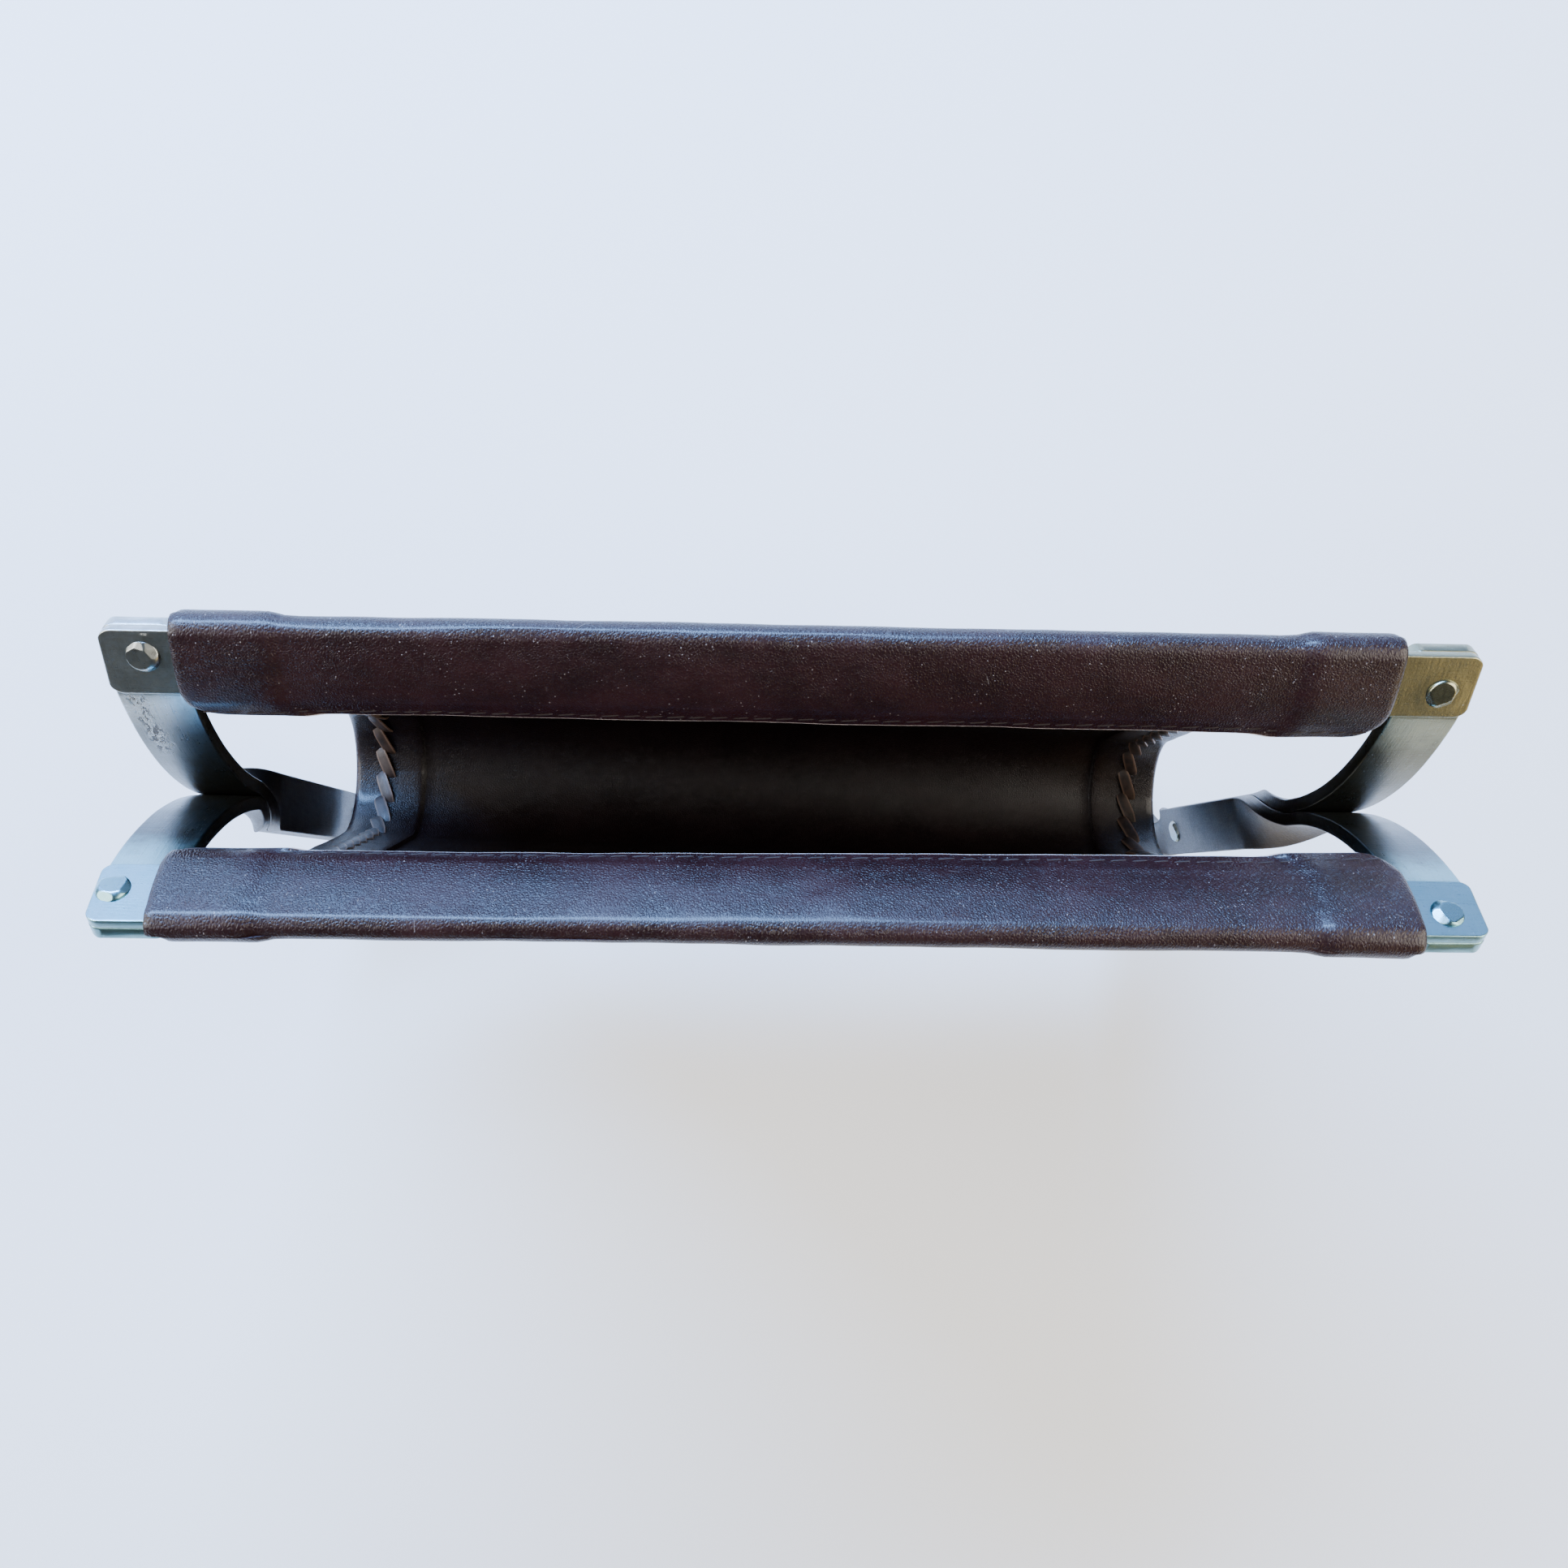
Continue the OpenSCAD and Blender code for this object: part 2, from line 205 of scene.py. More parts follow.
def makeIron(name, look, brushed=True):
    material, start = newMaterial(name)
    place = start.objectPlace()
    along = start.mark("barAt", 1) if brushed else place
    brush = along.cloud(look["grain"], 3.0, 0.6, (0.06, 1, 1) if brushed else (1, 1, 1))
    filed = along.cloud(look["grain"] * 2, 2.0, 0.6, (1, 0.12, 0.5) if brushed else (1, 1, 1))
    blotch = place.cloud(look["blotchSize"], 4.0, 0.6)
    fine = place.cloud(look["fineSize"], 3.0, 0.7)
    pits = place.cells(look["pitSize"]).step(0.0, 0.13, 1.0, 0.0) * place.cloud(13 * mm).step(0.50, 0.64)
    right, rear, height = [place.axis(k) for k in range(3)]
    base = blotch.step(0.36, 0.68).tint(look["clean"], look["aged"])
    # painted reflection: the front half takes the blue of the sky it would reflect
    front = rear.step(*look["paintedSkyReflectionTo"], 0.8, 0.0)
    base = front.tint(base, look["paintedSkyReflection"])
    # painted reflection: the rear right corner takes the warm colour of the light it would reflect
    corner = right.step(*look["paintedWarmReflectionFrom"][0]) * rear.step(*look["paintedWarmReflectionFrom"][1], 0.0, 0.9)
    base = corner.tint(base, look["paintedWarmReflection"])
    roughness = (brush * 0.5 + filed * 0.5).step(0.25, 0.75, *look["roughness"]) + (blotch - 0.5) * 0.12
    relief = brush * 0.6 + filed * 0.5 + fine * 0.6 - pits * (1.6 if brushed else 0.0)
    if brushed:
        height = height + (blotch - 0.5) * 0.016
        # The arcs below the filed plates are made darker: the front arcs with painted shade, darkest on the
        # left, and the rear right arc with the painted warm reflection.
        darkArcs = height.step(look["filedDown"][1], look["filedDown"][0], 1.0, 0.0)
        paintedShade = right.step(-120 * mm, 120 * mm).tint(*look["paintedShade"])
        arc = corner.tint(front.tint(look["darkArcs"], paintedShade), look["paintedWarmReflectionArc"])
        # painted shade: the stems darken towards the floor, standing for the shaded floor they reflect; the
        # same mask roughens them
        stemShade = height.step(look["stemShadeDown"][1], look["stemShadeDown"][0], 1.0, 0.0)
        base = (darkArcs * 0.95).tint(base, arc)
        base = (brush.step(0.52, 0.72) * fine.step(0.45, 0.6) * look["stain"]).tint(base, look["dark"])
        base = (stemShade * 0.95).tint(base, look["dark"])
        roughness = roughness + stemShade * fine.step(0.3, 0.7, 0.04, 0.16)
    base = (pits * 0.7).tint(base, look["rubbed"])
    if look["gouges"]:
        middle, half, first, last = look["gouges"]
        run, across = along.axis(0), along.axis(1)
        wander = (along.cloud(5 * mm, 2.0) - 0.5) * 0.006
        off = across + wander - middle
        groove = off.maths("ABSOLUTE", off).step(half * 0.3, half, 1.0, 0.0)
        groove = groove * run.step(first, first + 3 * mm) * run.step(last - 5 * mm, last, 1.0, 0.0)
        torn = along.cloud(1.3 * mm, 3.0, 0.75, (0.55, 1, 1))
        nick = torn.step(0.50, 0.58) * groove
        base = (nick * 0.8).tint(base, look["dark"])
        bright = torn.step(0.44, 0.48) * torn.step(0.48, 0.52, 1.0, 0.0) * groove
        base = (bright * 0.9).tint(base, look["rubbed"])
        relief = relief - nick * 1.8
    sockets = {"Base Color": base, "Metallic": 1.0, "Roughness": roughness}
    surface(start, sockets, relief, look["markDepth"])
    return material


hideLook = {
    "deep": colour(0.0080, 0.0014, 0.0023),
    "warm": colour(0.0160, 0.0026, 0.0039),
    # painted shade for the inside of the pocket
    "paintedShade": colour(0.0022, 0.0013, 0.0015),
    "speck": colour(0.36, 0.33, 0.34),
    "raw": colour(0.52, 0.46, 0.46),
    "roughness": (0.35, 0.45),
    "grainSize": 0.85 * mm,
    "grainDepth": 0.17 * mm,
    "blotchSize": 22 * mm,
    "speckSize": (1.7 * mm, 0.9 * mm),    # chips, dust
    "scuffSize": 34 * mm,
    "coat": 0.26,
    "coatRoughness": 0.22,
    "specular": 0.36,
    "inside": (312 * mm, 245 * mm),    # heights between which the painted shade in the pocket deepens
}


def makeHide(name, look):
    material, start = newMaterial(name)
    place = start.node("ShaderNodeUVMap", {"uv_map": "hide"})
    cut = start.mark("cut")
    swirl = start.node("ShaderNodeTexNoise", {}, {"Vector": place, "Scale": 1 / (6 * mm)}, 1)
    warp = place.moved(swirl.sized(1.2 * mm))
    pebble = warp.cells(look["grainSize"], "DISTANCE_TO_EDGE").step(0.0, 0.35)
    small = warp.cells(look["grainSize"] * 0.45, "F1")
    blotch = place.cloud(look["blotchSize"], 4.0, 0.6)
    fine = place.cloud(0.6 * mm, 3.0, 0.7)
    streak = place.cloud(5 * mm, 3.0, 0.6, (0.25, 1, 1))
    chipSize, dustSize = look["speckSize"]
    specks = place.cells(chipSize).step(0.05, 0.15, 1.0, 0.0) * place.cloud(15 * mm, 3.0).step(0.47, 0.58)
    dust = place.cells(dustSize).step(0.05, 0.20, 1.0, 0.0) * place.cloud(12 * mm, 3.0).step(0.54, 0.64)
    scuff = place.cells(look["scuffSize"], "DISTANCE_TO_EDGE", 1.0, 0, (0.6, 1, 1))
    scuff = scuff.step(0.0, 0.004, 1.0, 0.0) * place.cloud(7 * mm, 2.0).step(0.62, 0.68)
    base = (blotch * 0.7 + streak * 0.3).step(0.34, 0.66).tint(look["deep"], look["warm"])
    high, low = look["inside"]
    # painted shade: the inside of the pocket darkens with depth, and its specks fade out there
    deep = start.objectPlace().axis(2).step(low, high, 1.0, 0.0) * start.mark("pocket")
    base = (deep * 0.7).tint(base, look["paintedShade"])
    base = ((specks * 0.6 + dust * 0.3 + scuff * 0.25) * (1 - deep)).tint(base, look["speck"])
    base = cut.step(0.35, 0.8).tint(base, look["raw"])
    roughness = blotch.step(0.3, 0.7, *look["roughness"]) + (fine - 0.5) * 0.16 + cut * 0.3
    relief = pebble * 0.55 + small * 0.25 + fine * 0.4 + specks * 0.5 - scuff * 0.8
    surface(start, {"Base Color": base, "Roughness": roughness, "Coat Weight": (1 - cut) * look["coat"],
                    "Coat Roughness": look["coatRoughness"], "Specular IOR Level": look["specular"]},
            relief, look["grainDepth"])
    return material


thongLook = {
    "dark": colour(0.013, 0.008, 0.007),
    "light": colour(0.040, 0.024, 0.018),
    "edge": colour(0.14, 0.085, 0.058),
    "fibre": 0.5 * mm,
    "fibreDepth": 0.06 * mm,
}


def makeThong(name, look):
    material, start = newMaterial(name)
    place = start.objectPlace()
    rim = start.mark("rim")
    tone = place.cloud(5 * mm, 3.0).step(0.35, 0.68)
    fibre = place.cloud(look["fibre"], 3.0, 0.7)
    base = (rim.step(0.55, 1.0) * 0.85).tint(tone.tint(look["dark"], look["light"]), look["edge"])
    roughness = fibre.step(0.2, 0.8, 0.38, 0.62)
    surface(start, {"Base Color": base, "Roughness": roughness}, fibre, look["fibreDepth"])
    return material


threadLook = {
    "dark": colour(0.010, 0.006, 0.006),
    "light": colour(0.034, 0.024, 0.024),
    "strand": 0.32 * mm,
    "strandDepth": 0.05 * mm,
}


def makeThread(name, look):
    material, start = newMaterial(name)
    place = start.objectPlace()
    strand = place.cloud(look["strand"], 2.0, 0.6, (0.6, 1.6, 1))
    base = (strand.step(0.3, 0.7) * 0.7).tint(look["dark"], look["light"])
    roughness = strand.step(0.2, 0.8, 0.55, 0.8)
    surface(start, {"Base Color": base, "Roughness": roughness}, strand, look["strandDepth"])
    return material


ironFiled = makeIron("filed iron", ironLook)
ironGouged = makeIron("gouged iron", dict(ironLook, gouges=(-4.6 * mm, 3.2 * mm, 21 * mm, 52 * mm)))
rivetLook = dict(ironLook, clean=colour(0.27, 0.285, 0.275), grain=1.5 * mm, roughness=(0.25, 0.33),
                 markDepth=0.008 * mm)
rivetIron = makeIron("hammered rivet iron", rivetLook, brushed=False)
oxbloodHide = makeHide("oxblood hide", hideLook)
laceThong = makeThong("lacing thong", thongLook)
waxedThread = makeThread("waxed thread", threadLook)
print("materials ready")


# Geometry trees

def geometryTree(name, inputs):
    tree = bpy.data.node_groups.new(name, "GeometryNodeTree")
    tree.interface.new_socket("Geometry", in_out="INPUT", socket_type="NodeSocketGeometry")
    for label, (kind, value) in inputs.items():
        made = tree.interface.new_socket(label, in_out="INPUT", socket_type="NodeSocket" + kind)
        if value is not None:
            made.default_value = value
    tree.interface.new_socket("Geometry", in_out="OUTPUT", socket_type="NodeSocketGeometry")
    start = Wire(tree)
    start.entry = {s.name: Wire(tree, s) for s in tree.nodes.new("NodeGroupInput").outputs if s.name}
    return start, start.entry


def closeTree(start, shape):
    shape = start.node("GeometryNodeSetShadeSmooth", {}, {"Geometry": shape})
    shape = start.node("GeometryNodeRealizeInstances", {}, {"Geometry": shape})
    shape = start.node("GeometryNodeSetMaterial", {},
                       {"Geometry": shape, "Material": start.entry["Material"]})
    start.node("NodeGroupOutput", {}, {"Geometry": shape})
    return start.tree


def toScene(name, data):
    made = bpy.data.objects.new(name, data)
    bpy.context.scene.collection.objects.link(made)
    return made


def runTree(name, tree, base, values):
    holder = toScene(name + " path", base)
    modifier = holder.modifiers.new("nodes", "NODES")
    modifier.node_group = tree
    for item in tree.interface.items_tree:
        if item.in_out == "INPUT" and item.name in values:
            modifier[item.identifier] = values[item.name]
    bpy.context.view_layer.update()
    mesh = bpy.data.meshes.new_from_object(holder.evaluated_get(bpy.context.evaluated_depsgraph_get()))
    bpy.data.objects.remove(holder)
    return mesh


def pathMesh(name, points, **vectors):
    mesh = bpy.data.meshes.new(name)
    mesh.from_pydata(points, [(i, i + 1) for i in range(len(points) - 1)], [])
    for label, values in vectors.items():
        layer = mesh.attributes.new(label, "FLOAT_VECTOR", "POINT")
        layer.data.foreach_set("vector", [c for v in values for c in v])
    return mesh


def addPiece(name, mesh, nodes, sharp=None):
    if sharp:
        mesh.set_sharp_from_angle(angle=math.radians(sharp))
    piece = toScene(name, mesh)
    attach(piece, "root")
    if nodes:
        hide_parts(*nodes)
    return piece


def outwards(mesh):
    work = bmesh.new()
    work.from_mesh(mesh)
    bmesh.ops.recalc_face_normals(work, faces=work.faces)
    work.to_mesh(mesh)
    work.free()
    return mesh


# Flat bar swept along a path of stations, with filed edges, hammer marks and a swelling round each rivet.
def flatBarTree():
    start, entry = geometryTree("flat bar", {
        "Width": ("Float", 20 * mm), "Thickness": ("Float", 4 * mm), "Edge Radius": ("Float", 0.5 * mm),
        "Hammering": ("Float", 0.1 * mm), "Hammer Size": ("Float", 14 * mm), "Seed": ("Float", 0.0),
        "First Rivet": ("Vector", (0, 0, 0)), "Second Rivet": ("Vector", (0, 0, 0)),
        "Swelling Radius": ("Float", 5 * mm), "Swelling": ("Float", 0.0), "Material": ("Material", None)})

    def named(label):
        return start.node("GeometryNodeInputNamedAttribute", {"data_type": "FLOAT_VECTOR"}, {"Name": label})

    outline = start.node("GeometryNodeCurvePrimitiveQuadrilateral", {"mode": "RECTANGLE"},
                         {"Width": entry["Width"], "Height": entry["Thickness"]})
    index = start.node("GeometryNodeInputIndex")
    cuts = (1 - index.maths("MODULO", index, 2)) * 23 + 1
    outline = start.node("GeometryNodeSubdivideCurve", {}, {"Curve": outline, "Cuts": cuts})
    outline = start.node("GeometryNodeFilletCurve", {"mode": "POLY"},
                         {"Curve": outline, "Count": 3, "Radius": entry["Edge Radius"], "Limit Radius": True})
    where = start.node("GeometryNodeInputPosition")
    outline = start.node("GeometryNodeStoreNamedAttribute", {"data_type": "FLOAT_VECTOR", "domain": "POINT"},
                         {"Geometry": outline, "Name": "profileAt", "Value": where})
    spine = start.node("GeometryNodeMeshToCurve", {}, {"Mesh": entry["Geometry"]})
    bar = start.node("GeometryNodeCurveToMesh", {},
                     {"Curve": spine, "Profile Curve": outline, "Fill Caps": True})
    profileX, profileY = [named("profileAt").axis(k) for k in range(2)]
    squeezeX, squeezeY, run = [named("run").axis(k) for k in range(3)]
    place = named("spine").moved(named("side").sized(profileX * squeezeX))
    place = place.moved(named("face").sized(profileY * squeezeY))
    bar = start.node("GeometryNodeSetPosition", {}, {"Geometry": bar, "Position": place})
    marks = where.moved(start.gather({0: entry["Seed"]}))
    marks = marks.node("ShaderNodeTexNoise", {},
                       {"Vector": marks, "Scale": 1 / entry["Hammer Size"], "Detail": 2.0})
    dent = (marks - 0.5) * entry["Hammering"]
    onFace = profileY.step(0.0, 0.4 * mm)
    for rivet in ("First Rivet", "Second Rivet"):
        away = where.vector("DISTANCE", where, entry[rivet], out=1)
        near = away.step(entry["Swelling Radius"], entry["Swelling Radius"] * 1.9, 1.0, 0.0)
        dent = dent + near * near * (3 - near * 2) * entry["Swelling"] * onFace
    bar = start.node("GeometryNodeSetPosition", {}, {"Geometry": bar, "Offset": named("face").sized(dent)})
    barAt = start.gather({0: run, 1: profileX, 2: profileY})
    bar = start.node("GeometryNodeStoreNamedAttribute", {"data_type": "FLOAT_VECTOR", "domain": "POINT"},
                     {"Geometry": bar, "Name": "barAt", "Value": barAt})
    return closeTree(start, bar)


iron = {
    "barWidth": 20 * mm,
    "railThick": 3 * mm,
    "strapThick": 4.5 * mm,
    "topEdge": (43 * mm, 335 * mm),    # the straps' outer top edge: from the middle, above the floor
    "plateSlope": 40,
    "arcSlope": 56,
    "plateBend": 12 * mm,
    "footSlope": 44,
    "footArc": 75 * mm,
    "toeBend": 10 * mm,
    "toeLength": 16 * mm,
    "twistStart": (78 * mm, 90 * mm),    # below the top edge, left and right
    "twistLength": (42 * mm, 60 * mm),
    "stemTurn": (88, 78),
    "lowTwist": 244 * mm,
    "plateCorner": (3.4 * mm, 3.8 * mm),    # straps, rails
    "filedEdge": 0.55 * mm,
    "railEdge": 0.4 * mm,
    "hammering": (0.30 * mm, 0.16 * mm),    # straps, rails
    "hammerSize": 17 * mm,
    "swell": (0.07 * mm, 0.02 * mm),    # how far the rear and front rails rise round their rivets
    "swellRadius": 4.7 * mm,
    "rivetIn": (11 * mm, 5 * mm, 9 * mm, 10 * mm),    # rear left, front left, rear right, front right
    "rivetUp": (2 * mm, -1 * mm, -2 * mm, 2 * mm),
    "stemRivetDrop": 228 * mm,
}
railLow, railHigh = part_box("rail_rear")
railLength = railHigh.x - railLow.x
stemX = (railLength - iron["barWidth"]) / 2
topY, topZ = iron["topEdge"]
tilt = iron["plateSlope"]
downPlate = Vector((-cosD(tilt), -sinD(tilt)))
outPlate = Vector((sinD(tilt), -cosD(tilt)))
plateTop = Vector((topY, topZ)) - iron["strapThick"] * outPlate
plateEnd = plateTop + iron["barWidth"] * downPlate


def plateBendAt(a):
    return plateEnd - iron["plateBend"] * Vector((sinD(a) - sinD(tilt), cosD(tilt) - cosD(a)))


bendEnd = plateBendAt(iron["arcSlope"])
arcRadius = bendEnd.x / (1 - sinD(iron["arcSlope"]))
crossZ = bendEnd.y - arcRadius * cosD(iron["arcSlope"])
lowZ = iron["footArc"] * cosD(iron["footSlope"]) + iron["toeBend"] * (1 - cosD(iron["footSlope"]))
toeY = iron["footArc"] * (1 - sinD(iron["footSlope"])) + iron["toeBend"] * sinD(iron["footSlope"])


def steps(start, end, size):
    count = max(1, round(abs(end - start) / size))
    return [lerp(start, end, i / count) for i in range(1, count + 1)]


# Side profile of a strap's inner face: distance from the middle, height, slope.
def strapStations():
    found = [(*(plateTop + e * downPlate), tilt) for e in [0.0] + endSteps(iron["barWidth"])]
    found += [(*plateBendAt(a), a) for a in steps(tilt, iron["arcSlope"], 2)]
    found += [(arcRadius * (1 - sinD(a)), crossZ + arcRadius * cosD(a), a)
              for a in steps(iron["arcSlope"], 90, 0.8)]
    found += [(0.0, z, 90) for z in steps(crossZ, lowZ, 1.6 * mm)]
    foot = iron["footArc"]
    found += [(foot * (1 - sinD(a)), lowZ - foot * cosD(a), a)
              for a in steps(90, iron["footSlope"], 1.5)]
    toe = iron["toeBend"]
    found += [(toeY - toe * sinD(a), toe * (1 - cosD(a)), a) for a in steps(iron["footSlope"], 0, 4)]
    last = [0.0] + endSteps(iron["toeLength"] - 2 * mm)
    return found + [(toeY + iron["toeLength"] - e, 0.0, 0) for e in reversed(last)]


# Distances from a bar's end, close together where its corners are rounded.
def endSteps(length):
    near = [e * mm for e in (0.12, 0.3, 0.55, 0.9, 1.3, 1.8, 2.4, 3.1, 3.8)]
    return near + steps(near[-1], length, 0.9 * mm)


def roundedEnd(distance, radius, half):
    if distance >= radius:
        return 1.0
    return (half - radius + math.sqrt(radius ** 2 - (radius - distance) ** 2)) / half


def squeezes(runs, thick, corner):
    last = runs[-1]
    found = []
    for run in runs:
        e = min(run, last - run)
        found.append((roundedEnd(e, corner, iron["barWidth"] / 2),
                      roundedEnd(e, iron["filedEdge"], thick / 2), run))
    return found


def twistAt(z, side):
    def ease(u):
        c = min(max(u, 0.0), 1.0)
        return (c + c * c * (3 - 2 * c)) / 2
    upper = ease((topZ - iron["twistStart"][side] - z) / iron["twistLength"][side])
    lower = ease((topZ - iron["lowTwist"] - z) / (topZ - iron["lowTwist"] - lowZ))
    return iron["stemTurn"][side] * upper + (180 - iron["stemTurn"][side]) * lower


def strapPath(side, front):
    stations = strapStations()
    spines, sides, faces, runs = [], [], [], [0.0]
    turnRound = -1 if front else 1
    for i, (y, z, slope) in enumerate(stations):
        a = twistAt(z, side)
        below = -1 if z < (crossZ + lowZ) / 2 else 1
        across = Vector((cosD(a), -sinD(a), 0)) * turnRound
        away = Vector((sinD(a), cosD(a), 0)) * turnRound
        face = away * sinD(slope) + Vector((0, 0, -below * cosD(slope)))
        spine = away * y + Vector((0, 0, z)) + face * iron["strapThick"] / 2
        spine.x += stemX * (2 * side - 1)
        if i:
            runs.append(runs[-1] + math.dist(stations[i - 1][:2], (y, z)))
        spines.append(spine)
        sides.append(across)
        faces.append(face)
    return pathMesh("strap path", spines, spine=spines, side=sides, face=faces,
                    run=squeezes(runs, iron["strapThick"], iron["plateCorner"][0]))


def turned(front):
    return Matrix.Rotation(math.pi * front, 4, "Z")


# Place of a corner rivet: local z leads out of the plate's inner face.
def plateMatrix(corner):
    side, front = divmod(corner, 2)
    across = (iron["rivetIn"][corner] - iron["barWidth"] / 2) * (1 - 2 * side)
    at = plateTop + (iron["barWidth"] / 2 - iron["rivetUp"][corner]) * downPlate
    return (Matrix.Translation((stemX * (2 * side - 1), 0, 0)) @ turned(front)
            @ Matrix.Translation((across * (1 - 2 * front), at.x, at.y))
            @ Matrix.Rotation(math.radians(tilt), 4, "X"))


def railPath(front):
    middle = plateTop + iron["barWidth"] / 2 * downPlate - iron["railThick"] / 2 * outPlate
    ends = [0.0] + endSteps(22 * mm)
    runs = ends + steps(ends[-1], railLength - ends[-1], 6 * mm)[:-1]
    runs += [railLength - e for e in reversed(ends)]
    turn = turned(front)
    spines = [turn @ Vector((run - railLength / 2, middle.x, middle.y)) for run in runs]
    count = len(runs)
    return pathMesh("rail path", spines, spine=spines,
                    side=[turn @ Vector((0, *-downPlate))] * count,
                    face=[turn @ Vector((0, *-outPlate))] * count,
                    run=squeezes(runs, iron["railThick"], iron["plateCorner"][1]))


barTree = flatBarTree()
corners = ("rear_left", "front_left", "rear_right", "front_right")
for corner, label in enumerate(corners):
    side, front = divmod(corner, 2)
    mesh = runTree(label, barTree, strapPath(side, front), {
        "Width": iron["barWidth"], "Thickness": iron["strapThick"], "Edge Radius": iron["filedEdge"],
        "Hammering": iron["hammering"][0], "Hammer Size": iron["hammerSize"], "Seed": 3.7 * corner + 1.0,
        "Material": ironGouged if label == "rear_left" else ironFiled})
    addPiece("strap." + label, outwards(mesh), ["strap_" + label], 38)
for front, label in enumerate(("rear", "front")):
    rivets = [plateMatrix(corner) @ Vector((0, 0, iron["railThick"])) for corner in (front, front + 2)]
    mesh = runTree(label, barTree, railPath(front), {
        "Width": iron["barWidth"], "Thickness": iron["railThick"], "Edge Radius": iron["railEdge"],
        "Hammering": iron["hammering"][1], "Hammer Size": iron["hammerSize"], "Seed": 21.3 + 5 * front,
        "First Rivet": rivets[0], "Second Rivet": rivets[1], "Swelling": iron["swell"][front],
        "Swelling Radius": iron["swellRadius"], "Material": ironFiled})
    addPiece("rail." + label, outwards(mesh), ["rail_" + label], 38)
print("straps and rails swept")


rivetShape = {
    "headRadius": 4.6 * mm,
    "headHeight": 2.2 * mm,
    "shankRadius": 2.5 * mm,
    "facets": 5,
    "seeds": (4, 11, 8, 2, 5, 6),
    "firstTilt": (9, 9),    # degrees, from and to; the first blow leaves the widest facet
    "nextTilt": (28, 50),
    "firstCut": (0.64, 0.64),    # what is left of the dome's height over a facet
    "nextCut": (0.80, 0.92),
}


def rivetTree():
    start, entry = geometryTree("hammered rivet", {
        "Head Radius": ("Float", 4.6 * mm), "Head Height": ("Float", 2.2 * mm),
        "Shank Radius": ("Float", 2.5 * mm), "Grip": ("Float", 7.5 * mm), "Seed": ("Int", 0),
        "Material": ("Material", None)})

    def chance(low, high, number):
        blow = start.node("FunctionNodeInputInt", {"integer": number})
        return start.node("FunctionNodeRandomValue", {"data_type": "FLOAT"},
                          {2: low, 3: high, "ID": blow, "Seed": entry["Seed"]}, 1)

    head = start.node("GeometryNodeMeshUVSphere", {}, {"Segments": 56, "Rings": 40, "Radius": 1.0})
    where = start.node("GeometryNodeInputPosition")
    size = start.gather({0: entry["Head Radius"], 1: entry["Head Radius"], 2: entry["Head Height"]})
    place = where.vector("MULTIPLY", where, size)
    for k in range(rivetShape["facets"]):
        which = "next" if k else "first"
        lean = chance(*rivetShape[which + "Tilt"], k) * math.radians(1)
        bearing = chance(0.0, 2 * math.pi, 10 + k)
        cut = chance(*rivetShape[which + "Cut"], 20 + k)
        leanSin, leanCos = lean.maths("SINE", lean), lean.maths("COSINE", lean)
        normal = start.gather({0: leanSin * bearing.maths("COSINE", bearing),
                               1: leanSin * bearing.maths("SINE", bearing), 2: leanCos})
        reach = ((leanSin * entry["Head Radius"]) ** 2 + (leanCos * entry["Head Height"]) ** 2) ** 0.5
        excess = (place.vector("DOT_PRODUCT", place, normal, out=1) - reach * cut).most(0.0)
        place = place.vector("SUBTRACT", place, normal.sized(excess))
    low = place.axis(2)
    lift = low.most(-0.2 * mm) - low
    place = place.moved(start.gather({2: lift}))
    head = start.node("GeometryNodeSetPosition", {}, {"Geometry": head, "Position": place})
    tail = start.node("GeometryNodeTransform", {}, {
        "Geometry": head, "Rotation": (math.pi, 0, 0.6),
        "Translation": start.gather({2: 0 - entry["Grip"]})})
    shank = start.node("GeometryNodeMeshCylinder", {"fill_type": "NGON"}, {
        "Vertices": 32, "Radius": entry["Shank Radius"], "Depth": entry["Grip"]})
    shank = start.node("GeometryNodeTransform", {}, {
        "Geometry": shank, "Translation": start.gather({2: entry["Grip"] * -0.5})})
    joined = start.tree.nodes.new("GeometryNodeJoinGeometry")
    for part in (head, tail, shank):
        start.tree.links.new(part.socket, joined.inputs[0])
    return closeTree(start, Wire(start.tree, joined.outputs[0]))


def stemMatrix(side):
    return (Matrix.Translation((stemX * (2 * side - 1), 0, topZ - iron["stemRivetDrop"]))
            @ Matrix.Rotation(-math.radians(iron["stemTurn"][side]), 4, "Z")
            @ Matrix.Rotation(-math.pi / 2, 4, "X"))


headTree = rivetTree()
# name, node, place, how high the head sits above it, and the thickness it grips
rivetPlaces = [("rivet." + label, "rivet_" + label, plateMatrix(k), iron["railThick"],
                iron["railThick"] + iron["strapThick"]) for k, label in enumerate(corners)]
rivetPlaces += [("stem.rivet." + label, "stem_rivet_" + label, stemMatrix(k), iron["strapThick"],
                 2 * iron["strapThick"]) for k, label in enumerate(("left", "right"))]
for (name, node, matrix, top, grip), seed in zip(rivetPlaces, rivetShape["seeds"]):
    mesh = runTree(node, headTree, bpy.data.meshes.new(node), {
        "Head Radius": rivetShape["headRadius"], "Head Height": rivetShape["headHeight"],
        "Shank Radius": rivetShape["shankRadius"], "Grip": grip, "Seed": seed, "Material": rivetIron})
    mesh.transform(matrix @ Matrix.Translation((0, 0, top)))
    addPiece(name, mesh, [node], 28)
print("rivets hammered")


# Sling: one sheet from the lip of the rear sleeve round the fold to the lip of the front sleeve.

